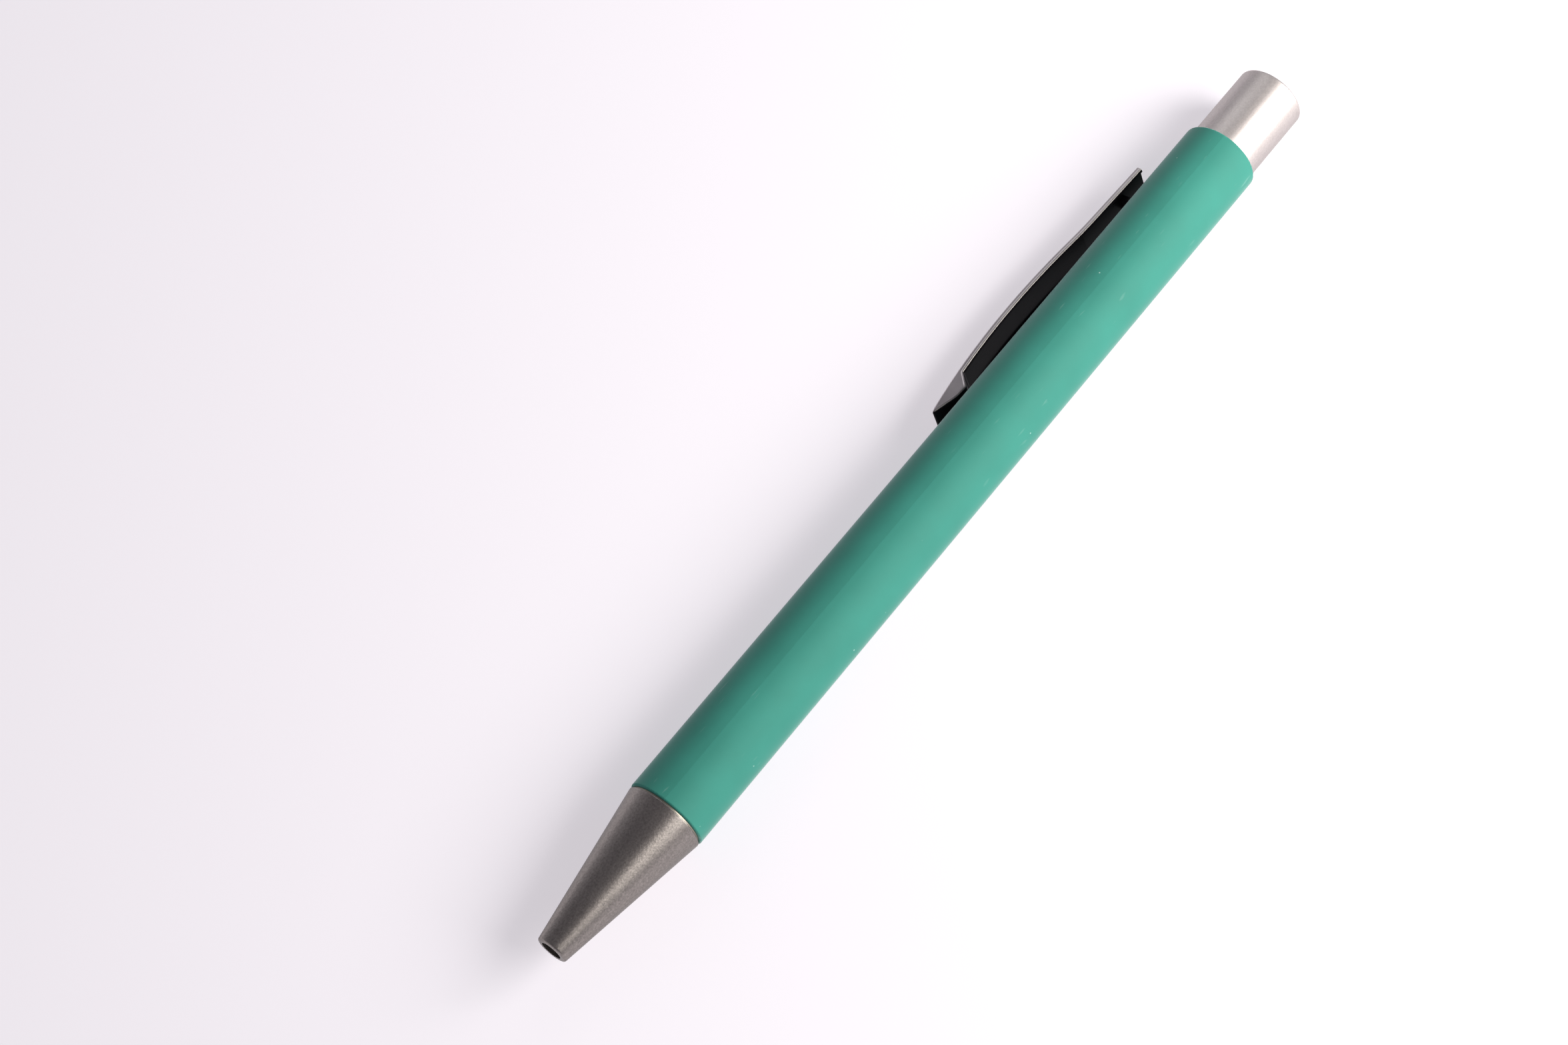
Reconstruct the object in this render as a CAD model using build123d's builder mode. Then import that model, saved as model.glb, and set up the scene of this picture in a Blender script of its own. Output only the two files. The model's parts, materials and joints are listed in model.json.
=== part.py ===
"""A retractable ballpoint pen with a metal barrel, lying at rest on its barrel and its clip.

+X runs from the writing tip to the button and +Z is up. The origin is under the middle of the pen,
on the surface it lies on. Distances along the pen are measured from the seam where the nose cone
meets the barrel: negative towards the writing tip, positive towards the button.
"""

import os
from math import asin, atan2, cos, hypot, radians, sin

from build123d import *

# ---- Barrel and nose cone ----
barrel_diameter = 10.2
barrel_length = 110.3
barrel_wall = 0.5
barrel_rim_round = 0.25
cone_length = 20.04
cone_tip_diameter = 3.96
cone_step = 0.07
cone_tip_round = 0.3
cone_seam_round = 0.12
mouth_depth = 1.5
seam_gap = 0.1
seam_depth = 0.35

# ---- Screw thread between the nose cone and its bush ----
thread_pitch = 0.75
thread_turns = 6
thread_start = 0.9
thread_seat = 0.85
thread_clearance = 0.06
spigot_length = 7.0
bush_length = 9.0

# ---- Refill, a standard metal one ----
refill_length = 98.1
refill_diameter = 5.9
refill_wall = 0.25
neck_diameter = 3.3
point_diameter = 2.45
ball_diameter = 1.0
tip_recess = 1.04
shoulder_from_tip = 19.0
neck_from_tip = 6.5
point_taper = 2.6
point_in_neck = 3.6
running_gap = 0.09
refill_gap = 0.15

# ---- Return spring ----
wire_diameter = 0.4
spring_seat = 13.0
spring_turns = 9
spring_gap = 0.2

# ---- Click mechanism ----
button_travel = 5.5
button_gap = 0.08
button_protrusion = 11.25
button_in_barrel = 3.8
button_wall = 0.62
button_edge_round = 0.3
stem_bore = 4.7
stem_gap = 0.08
sleeve_front = 84.0
sleeve_length = 11.4
sleeve_wall = 0.35
groove_width = 1.3
rib_height = 0.6
rib_gap = 0.08
rib_width = 1.1
rib_length = 4.3
rib_count = 4
rotor_rib_front = 84.3
rotor_rear = 88.8
rotor_step = 0.17
rotor_foot_diameter = 5.2
pilot_diameter = 4.4
pilot_length = 5.0
tooth_count = 8
tooth_depth = 1.0
tooth_width = 2.4
landing_depth = 0.6
bush_gap = 0.1
head_gap = 0.4

# ---- Clip, a folded metal channel. Heights are measured out from the barrel's surface ----
clip_width = 4.9
clip_sheet = 0.5
clip_nose = 59.15
clip_nose_height = 1.26
clip_brow = 60.25
clip_peak = 77.5
clip_peak_height = 3.14
clip_front_bow = 100.0
clip_rear_bow = 112.0
clip_waist = 91.0
clip_waist_round = 60.0
clip_end = 102.75
clip_end_height = 1.88
clip_edge_round = 0.35
clip_corner_round = 0.2
flange_depth = 0.84
shoe_end = 66.3
shoe_heel = 64.6
shoe_heel_height = -0.15
shoe_sole = 62.9
shoe_sole_height = 0.0
heel_round = 0.5
sole_round = 3.0
shoe_gap = 0.08
leg_place = 98.5
leg_thickness = 0.6
leg_width = 2.2
foot_gap = 0.3
foot_length = 0.9
foot_thickness = 0.5
leg_clearance = 0.15

# ---- Worked out from the sizes above ----
barrel_radius = barrel_diameter / 2
bore_radius = barrel_radius - barrel_wall
cone_seam_radius = barrel_radius - cone_step
refill_radius = refill_diameter / 2
neck_radius = neck_diameter / 2
point_radius = point_diameter / 2
button_radius = bore_radius - button_gap
groove_radius = bore_radius - sleeve_wall
rib_radius = groove_radius - rib_gap
stem_radius = rib_radius - rib_height
rotor_radius = stem_radius - rotor_step
sleeve_end = sleeve_front + sleeve_length
button_top = barrel_length + button_protrusion
button_front = barrel_length - button_in_barrel
head_front = button_front + 0.2
rear_bush_end = head_front - button_travel - head_gap
tip_at = tip_recess - cone_length
shoulder_at = tip_at + shoulder_from_tip
refill_end = tip_at + refill_length
tube_front = shoulder_at + 0.6
half_width = clip_width / 2
peak_height = barrel_radius + clip_peak_height
foot_top = bore_radius - foot_gap
leg_end_height = foot_top - foot_thickness

# The thread's ridge keeps its proportions at any pitch.
thread_root = bore_radius - thread_seat
thread_height = 0.44 * thread_pitch
thread_half_width = 0.4 * thread_pitch
thread_crest_half_width = 0.08 * thread_pitch

# The pen rolls until the clip's lower rounded edge lies on the same surface as the barrel.
edge_out = peak_height - clip_edge_round
edge_side = half_width - clip_edge_round
clip_lean = asin((barrel_radius - clip_edge_round) / hypot(edge_out, edge_side)) - atan2(edge_side, edge_out)
clip_reach = edge_out * cos(clip_lean) + edge_side * sin(clip_lean) + clip_edge_round

seam_x = (cone_length - button_top) / 2
axis_y = (barrel_radius - clip_reach) / 2
axis_z = barrel_radius

pen_axis = Axis((seam_x, axis_y, axis_z), (1, 0, 0))
lengthwise = Plane(origin=(seam_x, axis_y, axis_z), x_dir=(1, 0, 0), z_dir=(0, -1, 0))
clip_side = Plane(origin=(seam_x, axis_y, axis_z), x_dir=(1, 0, 0), z_dir=(0, sin(clip_lean), cos(clip_lean)))


def across(place):
    """The plane square to the pen's axis at a distance from the seam, facing the button."""
    return Plane(origin=(seam_x + place, axis_y, axis_z), x_dir=(0, 1, 0), z_dir=(1, 0, 0))


def clip_across(place, turn=0.0):
    """The plane square to the pen's axis whose X points out through the clip, or that far round from it."""
    angle = radians(turn) - clip_lean
    return Plane(origin=(seam_x + place, axis_y, axis_z), x_dir=(0, cos(angle), sin(angle)), z_dir=(1, 0, 0))


def soften(corner, radius):
    """Rounds the corner of the current outline that lies nearest the point given."""
    fillet(vertices().sort_by_distance(corner)[0], radius)


def turned(*outline, rounded=(), radius=0.0, mode=Mode.ADD):
    """Turns a closed outline of (distance from the seam, radius) points about the pen's axis."""
    with BuildSketch(lengthwise) as profile:
        with BuildLine():
            Polyline(*outline, close=True)
        make_face()
        for corner in rounded:
            soften(corner, radius)
    revolve(profile.sketch, axis=pen_axis, mode=mode)


def bored(start, end, radius):
    """Bores a round hole along the pen's axis."""
    turned((start, 0), (end, 0), (end, radius), (start, radius), mode=Mode.SUBTRACT)


def ribs(start, end, root, top, width, count, mode=Mode.ADD):
    """Straight ribs, or grooves, spaced evenly round the pen's axis. The first lies towards the clip."""
    with BuildSketch(clip_across(start)) as section:
        with PolarLocations((root + top) / 2, count):
            Rectangle(top - root, width)
    extrude(section.sketch, amount=end - start, mode=mode)


def thread(start, turns, grow, mode):
    """The nose cone's right-hand helical ridge, or the groove it runs in, wider by grow."""
    place = across(start)
    with BuildLine() as path:
        Helix(thread_pitch, turns * thread_pitch, thread_root, center=place.origin, direction=place.z_dir)
    foot = thread_half_width + grow
    crest = thread_crest_half_width + grow
    outward = path.line @ 0 - place.origin
    with BuildSketch(Plane(origin=path.line @ 0, x_dir=outward, z_dir=path.line % 0)) as section:
        with BuildLine():
            Polyline(
                (-0.1, -foot),
                (thread_height + grow, -crest),
                (thread_height + grow, crest),
                (-0.1, foot),
                close=True,
            )
        make_face()
    sweep(section.sketch, path=path.line, is_frenet=True, mode=mode)


def notches(at, depth, width, count, turn):
    """V notches cut square to the axis, evenly round an end face, with their bottoms at depth."""
    for index in range(count):
        side = clip_across(at, turn + 360 * index / count)
        with BuildSketch(Plane(origin=side.origin, x_dir=side.z_dir, z_dir=side.x_dir)) as vee:
            with BuildLine():
                Polyline((0, -width / 2), (depth, 0), (0, width / 2), close=True)
            make_face()
        extrude(vee.sketch, amount=barrel_radius, mode=Mode.SUBTRACT)


# ---- Nose cone: a tapered shell with a threaded spigot ----
mouth_radius = point_radius + running_gap
neck_bore = neck_radius + refill_gap
spring_radius = neck_radius + spring_gap + wire_diameter / 2
spring_bore = spring_radius + wire_diameter / 2 + spring_gap
refill_bore = refill_radius + refill_gap
shoulder_bore_at = shoulder_at - button_travel - 1.0

with BuildPart() as nose_cone:
    with BuildSketch(lengthwise):
        with BuildLine():
            tip_corner = (-cone_length, cone_tip_diameter / 2)
            seam_corner = (-seam_gap, cone_seam_radius)
            Polyline(
                tip_corner,
                seam_corner,
                (-seam_gap, thread_root),
                (spigot_length, thread_root),
                (spigot_length, 0),
                (-cone_length, 0),
                tip_corner,
            )
        make_face()
        soften(tip_corner, cone_tip_round)
        soften(seam_corner, cone_seam_round)
    revolve(axis=pen_axis)
    bored(-cone_length, -cone_length + mouth_depth, mouth_radius)
    bored(-cone_length + mouth_depth, -spring_seat, neck_bore)
    bored(-spring_seat, shoulder_bore_at, spring_bore)
    bored(shoulder_bore_at, spigot_length, refill_bore)
    thread(thread_start, thread_turns, 0, Mode.ADD)

# ---- Front bush: pressed into the barrel, with the thread for the nose cone ----
bush_bore = thread_root + thread_clearance
flange_radius = barrel_radius - seam_depth
with BuildPart() as front_bush:
    turned(
        (-seam_gap + 0.02, 0),
        (-seam_gap + 0.02, flange_radius),
        (seam_gap, flange_radius),
        (seam_gap, bore_radius),
        (bush_length, bore_radius),
        (bush_length, 0),
    )
    bored(-seam_gap, spigot_length + 0.3, bush_bore)
    bored(spigot_length, bush_length, refill_bore)
    thread(thread_start - 2 * thread_pitch, thread_turns + 2.6, thread_clearance, Mode.SUBTRACT)

# ---- Barrel: a tube with a slot for the clip's leg ----
slot_front = leg_place - leg_clearance
slot_length = leg_thickness + foot_length + 2 * leg_clearance
with BuildPart() as barrel_tube:
    front_corner = (seam_gap, barrel_radius)
    rear_corner = (barrel_length, barrel_radius)
    turned(
        (seam_gap, 0),
        front_corner,
        rear_corner,
        (barrel_length, 0),
        rounded=[front_corner, rear_corner],
        radius=barrel_rim_round,
    )
    bored(seam_gap, barrel_length, bore_radius)
    with BuildSketch(clip_across(slot_front)):
        with Locations((barrel_radius, 0)):
            Rectangle(barrel_radius, leg_width + 2 * leg_clearance)
    extrude(amount=slot_length, mode=Mode.SUBTRACT)

# ---- Refill: ball, point, neck, tube, ink and plug ----
ball_at = tip_at + ball_diameter / 2
point_front = tip_at + 0.3
point_end = tip_at + neck_from_tip + point_in_neck
neck_front = tip_at + neck_from_tip
tube_bore = refill_radius - refill_wall
neck_plug_end = tube_front + 4.0
plug_front = refill_end - 8.0
plug_stem_front = plug_front - 2.5

with BuildPart(across(ball_at)) as writing_ball:
    Sphere(ball_diameter / 2)

with BuildPart(across(ball_at)) as writing_tip:
    turned(
        (point_front, 0),
        (point_front, ball_diameter / 2 + 0.08),
        (point_front + point_taper, point_radius),
        (point_end, point_radius),
        (point_end, 0),
    )
    bored(point_front, point_end, ball_diameter / 4)
    Sphere(ball_diameter / 2 + 0.02, mode=Mode.SUBTRACT)

with BuildPart() as tip_holder:
    turned(
        (neck_front, 0),
        (neck_front, neck_radius - 0.2),
        (neck_front + 0.6, neck_radius),
        (shoulder_at, neck_radius),
        (shoulder_at, refill_radius - 0.15),
        (shoulder_at + 0.15, refill_radius),
        (tube_front, refill_radius),
        (tube_front, tube_bore),
        (neck_plug_end, tube_bore),
        (neck_plug_end, 0),
    )
    bored(neck_front, point_end, point_radius)
    bored(point_end, neck_plug_end, 0.8)

with BuildPart() as refill_tube:
    turned(
        (tube_front, tube_bore),
        (tube_front, refill_radius),
        (plug_front, refill_radius),
        (plug_front, tube_bore),
    )

with BuildPart() as ink_column:
    ink_end = plug_stem_front - 4.0
    turned((neck_plug_end, 0), (neck_plug_end, tube_bore - 0.02), (ink_end, tube_bore - 0.02), (ink_end, 0))

with BuildPart() as refill_plug:
    turned(
        (plug_stem_front, 0),
        (plug_stem_front, tube_bore - 0.02),
        (plug_front, tube_bore - 0.02),
        (plug_front, refill_radius),
        (refill_end - 0.4, refill_radius),
        (refill_end, refill_radius - 0.4),
        (refill_end, 0),
    )
    bored(plug_stem_front, refill_end, 0.6)
    ribs(refill_end - 3.0, refill_end, refill_radius - 0.5, refill_radius + 0.5, 0.8, 6, Mode.SUBTRACT)

# ---- Return spring: from its seat in the nose cone to the refill's shoulder ----
spring_front = -spring_seat + wire_diameter / 2 + 0.05
spring_rear = shoulder_at - wire_diameter / 2 - 0.05
with BuildPart() as return_spring:
    spring_length = spring_rear - spring_front
    spring_start = across(spring_front)
    with BuildLine() as coil:
        Helix(
            spring_length / spring_turns,
            spring_length,
            spring_radius,
            center=spring_start.origin,
            direction=spring_start.z_dir,
        )
    with BuildSketch(Plane(origin=coil.line @ 0, z_dir=coil.line % 0)):
        Circle(wire_diameter / 2)
    sweep(path=coil.line, is_frenet=True)

# ---- Rotor: pushes the refill, with ribs that run in the sleeve's grooves ----
with BuildPart() as rotor:
    turned(
        (refill_end + 0.05, 0),
        (refill_end + 0.05, rotor_foot_diameter / 2),
        (rotor_rib_front - 0.4, rotor_foot_diameter / 2),
        (rotor_rib_front, rotor_radius),
        (rotor_rear, rotor_radius),
        (rotor_rear, 0),
    )
    ribs(rotor_rib_front, rotor_rear, rotor_radius - 0.3, rib_radius, rib_width, rib_count)
    notches(rotor_rear, -tooth_depth, tooth_width, tooth_count, 0)
    turned(
        (rotor_rear - 2 * tooth_depth, 0),
        (rotor_rear - 2 * tooth_depth, pilot_diameter / 2),
        (rotor_rear + pilot_length, pilot_diameter / 2),
        (rotor_rear + pilot_length, 0),
    )

# ---- Thrust cam: the button's plastic core, with teeth that turn the rotor ----
cam_front = rotor_rear - tooth_depth / 2
cam_rib_rear = sleeve_end - 0.1
head_rear = button_top - button_wall - 1.0
head_radius = button_radius - button_wall
with BuildPart() as thrust_cam:
    turned(
        (cam_front, 0),
        (cam_front, stem_radius),
        (head_front, stem_radius),
        (head_front, head_radius),
        (head_rear, head_radius),
        (head_rear, 0),
    )
    ribs(cam_rib_rear - rib_length, cam_rib_rear, stem_radius - 0.3, rib_radius, rib_width, rib_count)
    notches(cam_front, tooth_depth, tooth_width, tooth_count, 180 / tooth_count)
    bored(cam_front, head_rear, stem_bore / 2)

# ---- Cam sleeve: fixed in the barrel, grooved inside, with landing notches on its front end ----
with BuildPart() as cam_sleeve:
    turned((sleeve_front, 0), (sleeve_front, bore_radius), (sleeve_end, bore_radius), (sleeve_end, 0))
    bored(sleeve_front, sleeve_end, stem_radius + stem_gap)
    ribs(sleeve_front, sleeve_end, stem_radius - 0.3, groove_radius, groove_width, rib_count, Mode.SUBTRACT)
    notches(sleeve_front, landing_depth, 2 * rib_width, rib_count, 180 / rib_count)

# ---- Rear bush: guides the button's stem and locks the clip's foot ----
with BuildPart() as rear_bush:
    bush_front = sleeve_end + bush_gap
    turned((bush_front, 0), (bush_front, bore_radius), (rear_bush_end, bore_radius), (rear_bush_end, 0))
    bored(bush_front, rear_bush_end, stem_radius + stem_gap)
    with BuildSketch(clip_across(leg_place - foot_length - leg_clearance)):
        with Locations((barrel_radius, 0)):
            Rectangle(barrel_radius, leg_width + 2 * leg_clearance)
    extrude(amount=slot_length + foot_length, mode=Mode.SUBTRACT)

# ---- Button cap: a closed metal cap over the thrust cam's head ----
with BuildPart() as button_cap:
    top_corner = (button_top, button_radius)
    turned(
        (button_front, 0),
        (button_front, button_radius),
        top_corner,
        (button_top, 0),
        rounded=[top_corner],
        radius=button_edge_round,
    )
    bored(button_front, button_top - button_wall, head_radius)

# ---- Clip: a bowed channel with a closed shoe at the nose and a leg through the barrel's slot ----


def crown(place, drop=0.0):
    """The point on the clip's outer edge at a distance from the seam, moved inwards by drop."""
    if place > clip_waist:
        waist_height = crown(clip_waist)[1]
        share = (place - clip_waist) / (clip_end - clip_waist)
        return (place, waist_height + share * (barrel_radius + clip_end_height - waist_height) - drop)
    bow = clip_front_bow if place < clip_peak else clip_rear_bow
    return (place, peak_height - (place - clip_peak) ** 2 / (2 * bow) - drop)


def bowed_line(start, drop):
    """The clip's bowed edge from start to the clip's end, moved inwards by drop."""
    for front, rear in ((start, clip_peak), (clip_peak, clip_waist)):
        ThreePointArc(crown(front, drop), crown((front + rear) / 2, drop), crown(rear, drop))
    Line(crown(clip_waist, drop), crown(clip_end, drop))


def is_rounded(edge):
    """True for the edges of the clip's outline, but not for its flanges' lower edges or its cut end."""
    centre = clip_side.to_local_coords(edge.center())
    on_a_side = abs(abs(centre.Z) - half_width) < 0.01
    outer = centre.Y > crown(centre.X, flange_depth / 2)[1]
    return on_a_side and centre.X < clip_end - 0.01 and (outer or centre.X < shoe_end)


with BuildPart() as clip:
    nose = (clip_nose, barrel_radius + clip_nose_height)
    sole = (shoe_sole, barrel_radius + shoe_sole_height)
    heel = (shoe_heel, barrel_radius + shoe_heel_height)
    with BuildSketch(clip_side.offset(-half_width)):
        with BuildLine():
            bowed_line(clip_brow, 0)
            Line(crown(clip_end), crown(clip_end, flange_depth))
            bowed_line(shoe_end, flange_depth)
            Polyline(crown(shoe_end, flange_depth), heel, sole, nose, crown(clip_brow))
        make_face()
        soften(crown(clip_waist), clip_waist_round)
        soften(crown(clip_waist, flange_depth), clip_waist_round)
        soften(crown(shoe_end, flange_depth), heel_round)
        soften(heel, heel_round)
        soften(sole, sole_round)
        soften(nose, clip_corner_round)
        soften(crown(clip_brow), clip_corner_round)
    extrude(amount=clip_width)
    fillet(edges().filter_by(is_rounded), clip_edge_round)
    # The channel between the two flanges, open at the clip's end
    with BuildSketch(clip_side.offset(clip_sheet - half_width)):
        with BuildLine():
            bowed_line(shoe_end + 0.1, clip_sheet)
            Polyline(
                crown(clip_end, clip_sheet),
                (clip_end, 0),
                (shoe_end + 0.1, 0),
                crown(shoe_end + 0.1, clip_sheet),
            )
        make_face()
    extrude(amount=clip_width - 2 * clip_sheet, mode=Mode.SUBTRACT)
    # The shoe's sole follows the barrel
    bored(clip_nose - 1, shoe_end, barrel_radius + shoe_gap)
    # The leg stands under the web, with its foot turned forwards inside the barrel
    leg_rear = leg_place + leg_thickness
    foot_front = leg_place - foot_length
    with BuildSketch(clip_side.offset(-leg_width / 2)):
        with BuildLine():
            Polyline(
                crown(leg_place, clip_sheet - 0.1),
                (leg_place, foot_top),
                (foot_front, foot_top),
                (foot_front, leg_end_height),
                (leg_rear, leg_end_height),
                crown(leg_rear, clip_sheet - 0.1),
                close=True,
            )
        make_face()
    extrude(amount=leg_width)

pieces = {
    "nose_cone": nose_cone,
    "front_bush": front_bush,
    "barrel_tube": barrel_tube,
    "writing_ball": writing_ball,
    "writing_tip": writing_tip,
    "tip_holder": tip_holder,
    "refill_tube": refill_tube,
    "ink_column": ink_column,
    "refill_plug": refill_plug,
    "return_spring": return_spring,
    "rotor": rotor,
    "thrust_cam": thrust_cam,
    "cam_sleeve": cam_sleeve,
    "rear_bush": rear_bush,
    "button_cap": button_cap,
    "clip": clip,
}

os.makedirs("parts", exist_ok=True)
for name, piece in pieces.items():
    piece.part.label = name
    export_step(piece.part, f"parts/{name}.step")
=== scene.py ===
"""A retractable ballpoint pen: the looks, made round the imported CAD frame. Lengths are in metres."""

import json
from math import radians

import bpy
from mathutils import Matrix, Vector


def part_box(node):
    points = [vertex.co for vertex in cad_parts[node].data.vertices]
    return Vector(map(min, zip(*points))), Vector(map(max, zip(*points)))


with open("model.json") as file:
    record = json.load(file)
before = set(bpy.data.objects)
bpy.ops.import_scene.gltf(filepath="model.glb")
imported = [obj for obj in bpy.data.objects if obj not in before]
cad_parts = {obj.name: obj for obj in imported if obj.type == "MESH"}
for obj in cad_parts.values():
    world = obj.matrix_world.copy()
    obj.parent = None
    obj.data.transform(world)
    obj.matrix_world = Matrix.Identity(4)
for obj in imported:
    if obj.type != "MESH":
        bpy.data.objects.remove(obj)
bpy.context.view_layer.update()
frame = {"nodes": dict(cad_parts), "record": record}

MM = 0.001

# A colour Mix node's sockets. Its numbers and vectors have sockets of the same names.
MIX_SHARE, MIX_FIRST, MIX_SECOND, MIX_RESULT = 0, 6, 7, 2


# ---- Places, taken from the frame ----

seam_gap = 0.1 * MM  # from the seam to the barrel's front face, and as far to the nose cone's rear face
barrel_low, barrel_high = (Vector(corner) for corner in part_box("barrel_tube"))
axis_y = (barrel_low.y + barrel_high.y) / 2
axis_z = (barrel_low.z + barrel_high.z) / 2
barrel_radius = (barrel_high.z - barrel_low.z) / 2
seam = Vector((barrel_low.x - seam_gap, axis_y, axis_z))
joints = frame["record"]["behaviour"]["joints"]
clip_hinge = next(joint for joint in joints if joint["name"] == "clip_flex")
clip_side = -Vector(clip_hinge["axis"])
clip_out = clip_side.cross(Vector((1, 0, 0)))
clip_spread = [(vertex.co - seam).dot(clip_side) for vertex in frame["nodes"]["clip"].data.vertices]
clip_half_width = max(clip_spread)


# ---- Material kit ----


class Nodes:
    """A new material with a Principled shader, and short calls that add the nodes feeding it."""

    def __init__(self, name):
        self.material = bpy.data.materials.new(name)
        self.material.use_nodes = True
        self.tree = self.material.node_tree
        self.shader = self.tree.nodes["Principled BSDF"]
        coordinates = self.tree.nodes.new("ShaderNodeTexCoord")
        self.place = coordinates.outputs["Object"]
        self.normal = coordinates.outputs["Normal"]

    def add(self, kind, inputs=(), **settings):
        """A node with its settings, and with its inputs given as numbers or as other nodes' outputs."""
        node = self.tree.nodes.new(kind)
        for name, value in settings.items():
            setattr(node, name, value)
        for name, value in dict(inputs).items():
            self.feed(node.inputs[name], value)
        return node

    def feed(self, socket, value):
        """Sets a socket to a number or colour, or links it to another node's output."""
        if isinstance(value, bpy.types.NodeSocket):
            self.tree.links.new(value, socket)
        else:
            socket.default_value = value

    def noise(self, scale, detail=2.0, roughness=0.5, stretch=None):
        """Noise from 0 to 1 over the object, with scale in features a metre."""
        vector = self.place
        if stretch:
            vector = self.add("ShaderNodeMapping", {"Vector": vector, "Scale": stretch}).outputs["Vector"]
        inputs = {"Vector": vector, "Scale": scale, "Detail": detail, "Roughness": roughness}
        return self.add("ShaderNodeTexNoise", inputs).outputs["Fac"]

    def cells(self, scale):
        """The distance to the nearest scattered point, in point spacings, with scale in points a metre."""
        return self.add("ShaderNodeTexVoronoi", {"Vector": self.place, "Scale": scale}).outputs["Distance"]

    def maths(self, operation, first, second=0.0):
        """One operation on one or two values."""
        return self.add("ShaderNodeMath", {0: first, 1: second}, operation=operation).outputs["Value"]

    def times(self, first, second):
        return self.maths("MULTIPLY", first, second)

    def largest(self, first, second):
        return self.maths("MAXIMUM", first, second)

    def size(self, value):
        return self.maths("ABSOLUTE", value)

    def vectors(self, operation, first, second=(0, 0, 0)):
        """One operation on one or two vectors. It has both a vector and a number as outputs."""
        return self.add("ShaderNodeVectorMath", {0: first, 1: second}, operation=operation).outputs

    def along(self, vector, direction):
        """How far a vector reaches along a direction."""
        return self.vectors("DOT_PRODUCT", vector, tuple(direction))["Value"]

    def range(self, value, low, high, to_low=0.0, to_high=1.0):
        """Maps low..high of a value to to_low..to_high, and clamps it."""
        inputs = {"Value": value, "From Min": low, "From Max": high, "To Min": to_low, "To Max": to_high}
        return self.add("ShaderNodeMapRange", inputs).outputs["Result"]

    def mix(self, share, first, second):
        """A colour between two colours."""
        node = self.add("ShaderNodeMix", data_type="RGBA")
        self.feed(node.inputs[MIX_SHARE], share)
        self.feed(node.inputs[MIX_FIRST], first)
        self.feed(node.inputs[MIX_SECOND], second)
        return node.outputs[MIX_RESULT]

    def bump(self, height, distance, strength):
        """Bumps the surface by a height from 0 to 1 times distance."""
        inputs = {"Height": height, "Distance": distance, "Strength": strength}
        return self.add("ShaderNodeBump", inputs).outputs["Normal"]

    def set(self, **inputs):
        """Sets the shader's inputs, named with underscores for spaces."""
        for name, value in inputs.items():
            self.feed(self.shader.inputs[name.replace("_", " ")], value)


def darker(colour, share):
    """A share of a colour's brightness, still opaque."""
    return tuple(share * part for part in colour[:3]) + (1,)


def soft_touch():
    """The barrel's matte rubbery paint: fine tooth, faint mottling, dust specks and rubbed hairlines."""
    n = Nodes("soft_touch_green")
    mottle = n.noise(160, 4)
    base = n.mix(n.range(mottle, 0.3, 0.7), (0.028, 0.204, 0.160, 1), (0.033, 0.228, 0.180, 1))
    dust = n.cells(420)
    specks = n.times(n.range(dust, 0.030, 0.045, 1.0, 0.0), n.range(n.noise(90), 0.42, 0.55))
    hairs = n.range(n.noise(2200, 1, stretch=(0.14, 1, 0.5)), 0.71, 0.77)
    rubbed = n.times(hairs, n.range(n.noise(55, 1), 0.50, 0.62))
    marked = n.mix(n.times(rubbed, 0.2), base, (0.30, 0.47, 0.42, 1))
    colour = n.mix(n.times(specks, 0.8), marked, (0.42, 0.60, 0.54, 1))
    tooth = n.noise(9000, 2)
    n.set(
        Base_Color=colour,
        Roughness=n.range(mottle, 0.2, 0.8, 0.70, 0.78),
        Normal=n.bump(tooth, 0.004 * MM, 0.5),
        Specular_IOR_Level=0.33,
        Sheen_Weight=0.6,
        Sheen_Roughness=0.3,
    )
    return n.material


def blasted_metal(name, dark, light, roughness):
    """Bead-blasted plated metal with a fine grain."""
    n = Nodes(name)
    grain = n.noise(4200, 4, 0.68)
    cloud = n.noise(120, 3)
    colour = n.mix(n.range(grain, 0.32, 0.68), dark, light)
    n.set(
        Base_Color=colour,
        Metallic=1.0,
        Roughness=n.range(cloud, 0.2, 0.8, roughness - 0.03, roughness + 0.03),
        Normal=n.bump(grain, 0.02 * MM, 0.7),
        Specular_Tint=(0.72, 0.72, 0.72, 1),
    )
    return n.material


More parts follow.
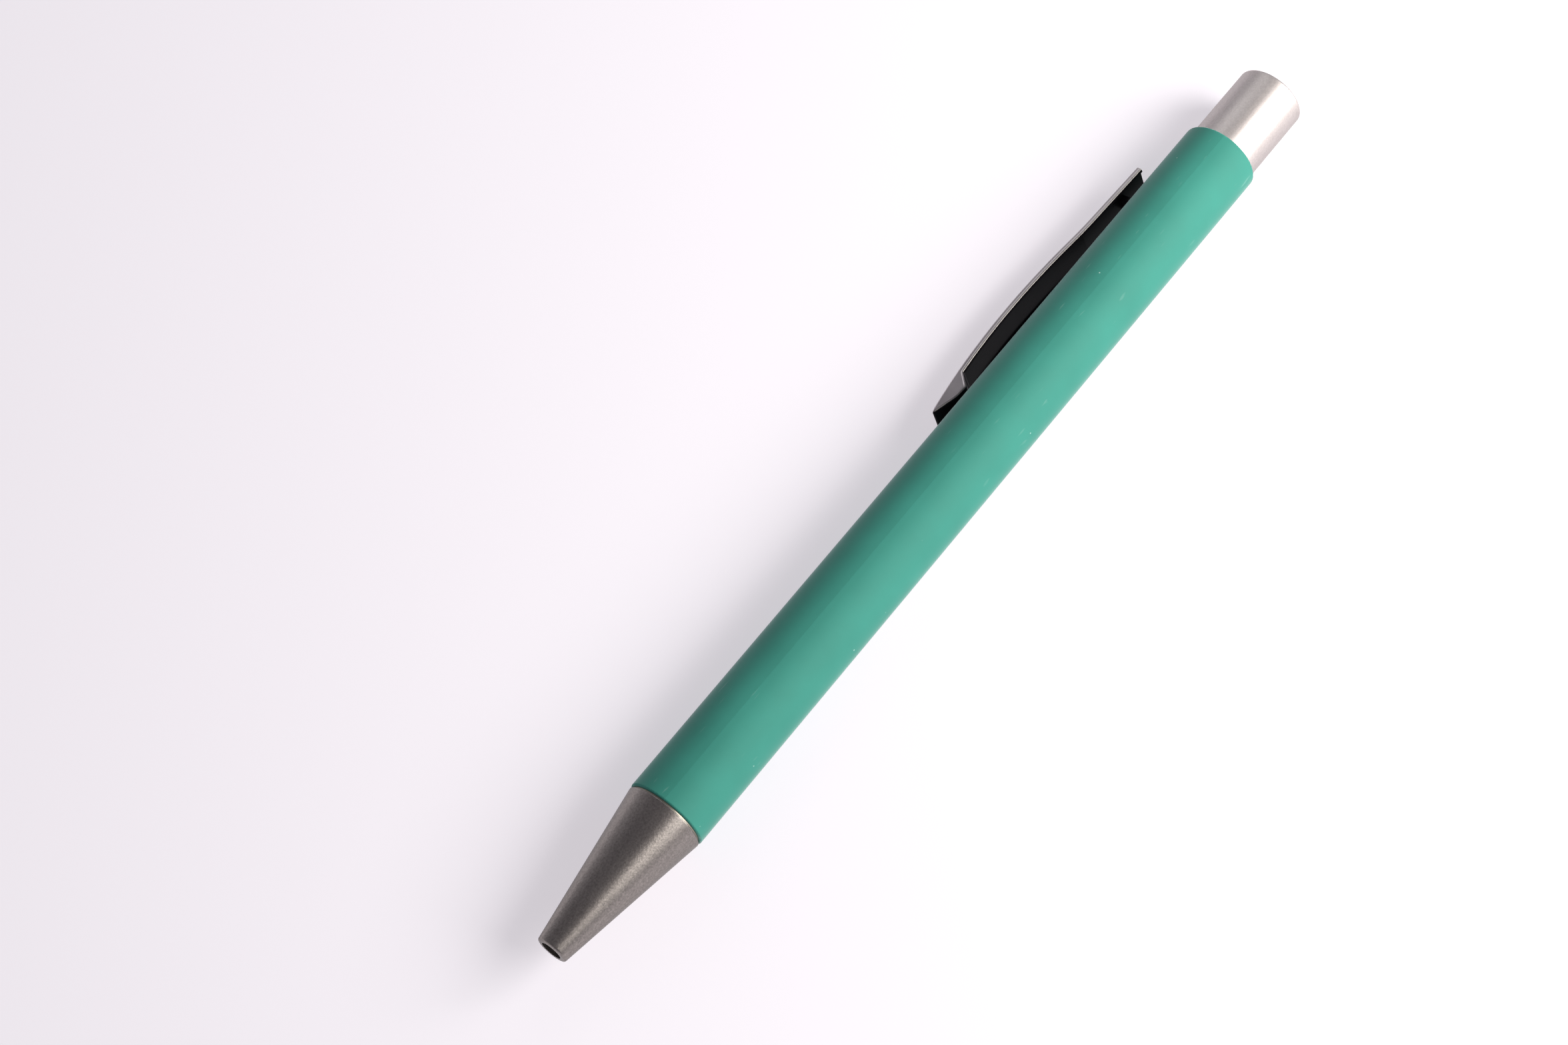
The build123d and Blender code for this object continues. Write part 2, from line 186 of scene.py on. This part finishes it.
def plated_steel():
    """The clip's gunmetal plating, pale on its cut edges, with painted shade in the channel and under the
    shoe near the barrel.
    """
    skin, skin_blur = 0.14 * MM, 0.06 * MM  # how deep under the outer faces the inside begins
    shade, shade_blur = 0.35 * MM, 0.60 * MM  # how far off the barrel it stays dark, then fades
    n = Nodes("gunmetal_plate")
    wave = n.noise(420, 2)
    from_axis = n.vectors("SUBTRACT", n.place, tuple(seam))["Vector"]
    sideways = n.size(n.along(from_axis, clip_side))
    outward = n.along(n.normal, clip_out)
    inner_face = clip_half_width - skin
    # Painted shade: the channel's inner faces are darkened, standing in for the shade that falls in the
    # channel.
    inside = n.range(sideways, inner_face, inner_face + skin_blur, 1.0, 0.0)
    not_web = n.range(outward, 0.25, 0.4, 1.0, 0.0)
    across_pen = n.vectors("MULTIPLY", from_axis, (0, 1, 1))["Vector"]
    lift = n.vectors("LENGTH", across_pen)["Value"]
    # Painted shade: the clip is darkened up to shade off the barrel, then fades, standing in for the shade
    # in the gap under the shoe.
    shade_edge = barrel_radius + shade
    barrel_gap_shade = n.range(lift, shade_edge, shade_edge + shade_blur, 1.0, 0.0)
    # Painted shade mask: the channel and barrel-gap shades together, kept off the web's outer face.
    painted_shade = n.times(n.largest(inside, barrel_gap_shade), not_web)
    cut_edge = n.times(n.range(outward, -0.7, -0.4, 1.0, 0.0), n.maths("SUBTRACT", 1.0, painted_shade))
    plate = n.mix(n.range(wave, 0.3, 0.7), (0.35, 0.328, 0.335, 1), (0.40, 0.375, 0.38, 1))
    edged = n.mix(cut_edge, plate, (0.40, 0.38, 0.34, 1))
    n.set(
        # Where the shade is painted, the plate turns near black, non-metal and barely reflective, so it
        # shows no reflection there.
        Base_Color=n.mix(painted_shade, edged, (0.008, 0.006, 0.008, 1)),
        Metallic=n.maths("SUBTRACT", 1.0, n.largest(painted_shade, cut_edge)),
        Specular_IOR_Level=n.range(painted_shade, 0.0, 1.0, 0.5, 0.08),
        Roughness=n.range(wave, 0.2, 0.8, 0.26, 0.30),
        Normal=n.bump(n.noise(2500, 2), 0.003 * MM, 0.3),
    )
    return n.material


def machined(name, colour, roughness):
    """Turned or drawn metal with fine rings round the pen's axis."""
    n = Nodes(name)
    rings = n.noise(1500, 2, stretch=(6, 0.02, 0.02))
    n.set(
        Base_Color=n.mix(n.range(rings, 0.2, 0.8), colour, darker(colour, 0.85)),
        Metallic=1.0,
        Roughness=n.range(rings, 0.2, 0.8, roughness - 0.05, roughness + 0.05),
        Normal=n.bump(rings, 0.004 * MM, 0.5),
    )
    return n.material


def moulded(name, colour):
    """Moulded plastic with a faint spark-eroded texture."""
    n = Nodes(name)
    grain = n.noise(4000, 3)
    n.set(
        Base_Color=n.mix(n.range(grain, 0.2, 0.8), colour, darker(colour, 0.88)),
        Roughness=n.range(grain, 0.2, 0.8, 0.42, 0.55),
        Normal=n.bump(grain, 0.006 * MM, 0.5),
    )
    return n.material


def paint(material, *nodes):
    """Gives CAD nodes a material."""
    for node in nodes:
        piece = frame["nodes"][node]
        piece.data.materials.clear()
        piece.data.materials.append(material)


paint(soft_touch(), "barrel_tube")
paint(blasted_metal("blasted_nose", (0.21, 0.192, 0.18, 1), (0.345, 0.317, 0.295, 1), 0.32), "nose_cone")
paint(blasted_metal("blasted_button", (0.48, 0.445, 0.43, 1), (0.58, 0.54, 0.525, 1), 0.46), "button_cap")
paint(plated_steel(), "clip")
paint(machined("plated_bush", (0.42, 0.39, 0.32, 1), 0.4), "front_bush")
paint(machined("brass", (0.78, 0.60, 0.30, 1), 0.25), "tip_holder")
paint(machined("nickel_silver", (0.72, 0.69, 0.64, 1), 0.22), "writing_tip", "writing_ball")
paint(machined("refill_metal", (0.70, 0.70, 0.72, 1), 0.3), "refill_tube")
paint(machined("spring_steel", (0.60, 0.60, 0.62, 1), 0.25), "return_spring")
paint(moulded("ink_paste", (0.01, 0.012, 0.05, 1)), "ink_column")
paint(moulded("plug_plastic", (0.75, 0.75, 0.72, 1)), "refill_plug")
paint(moulded("rotor_plastic", (0.80, 0.80, 0.77, 1)), "rotor")
paint(moulded("dark_plastic", (0.05, 0.05, 0.055, 1)), "thrust_cam", "cam_sleeve", "rear_bush")


# ---- Stage ----

floor_mesh = bpy.data.meshes.new("floor")
reach = 3.0
corners = [(-reach, -reach, 0), (reach, -reach, 0), (reach, reach, 0), (-reach, reach, 0)]
floor_mesh.from_pydata(corners, [], [(0, 1, 2, 3)])
floor = bpy.data.objects.new("floor", floor_mesh)
bpy.context.scene.collection.objects.link(floor)
floor_look = Nodes("pale_floor")
floor_look.set(Base_Color=(0.41, 0.40, 0.43, 1), Roughness=0.8)
floor_look.set(Emission_Color=(1.0, 0.95, 1.0, 1), Emission_Strength=0.52)
floor_mesh.materials.append(floor_look.material)

world = bpy.data.worlds.new("studio")
bpy.context.scene.world = world
world.use_nodes = True
sky = world.node_tree
direction = sky.nodes.new("ShaderNodeTexCoord")
split = sky.nodes.new("ShaderNodeSeparateXYZ")
height = sky.nodes.new("ShaderNodeMapRange")
blend = sky.nodes.new("ShaderNodeMix")
blend.data_type = "RGBA"
horizon = (0.52, 0.50, 0.54, 1)
overhead = (0.20, 0.19, 0.21, 1)
blend.inputs[MIX_FIRST].default_value = horizon
blend.inputs[MIX_SECOND].default_value = overhead
height.inputs["From Max"].default_value = 0.75
sky.links.new(direction.outputs["Generated"], split.inputs["Vector"])
sky.links.new(split.outputs["Z"], height.inputs["Value"])
sky.links.new(height.outputs["Result"], blend.inputs[MIX_SHARE])
sky.links.new(blend.outputs[MIX_RESULT], sky.nodes["Background"].inputs["Color"])


def lamp(name, place, aim, long, wide, power, colour=(1, 1, 1)):
    """An area light at place, facing aim, with its long side level and its power in watts."""
    data = bpy.data.lights.new(name, "AREA")
    data.shape = "RECTANGLE"
    data.size = long
    data.size_y = wide
    data.energy = power
    data.color = colour
    light = bpy.data.objects.new(name, data)
    light.location = place
    light.rotation_euler = (Vector(aim) - Vector(place)).to_track_quat("-Z", "Y").to_euler()
    bpy.context.scene.collection.objects.link(light)


warm = (1.0, 0.965, 0.92)
lamp("key", (0.13, -0.24, 0.207), (0.03, 0, 0), 0.34, 0.22, 1.78, warm)
lamp("near_button", (0.17, -0.13, 0.12), (0.07, 0, 0), 0.10, 0.10, 0.28, warm)
lamp("fill", (0.16, 0.12, 0.16), (0.06, 0, 0), 0.12, 0.12, 0.06)


# ---- Camera, at the photo's angle ----

camera_data = bpy.data.cameras.new("camera")
camera_data.sensor_width = 36.0
camera_data.lens = 70.63
camera_data.clip_start = 0.01
camera = bpy.data.objects.new("camera", camera_data)
azimuth = radians(-52.025)
elevation = radians(65.052)
from_seam = Vector((-83.55, -82.29, 328.98)) * MM
camera.rotation_euler = (radians(90) - elevation, 0, azimuth)
camera.location = seam + from_seam
bpy.context.scene.collection.objects.link(camera)
bpy.context.scene.camera = camera

bpy.context.scene.view_settings.view_transform = "Standard"
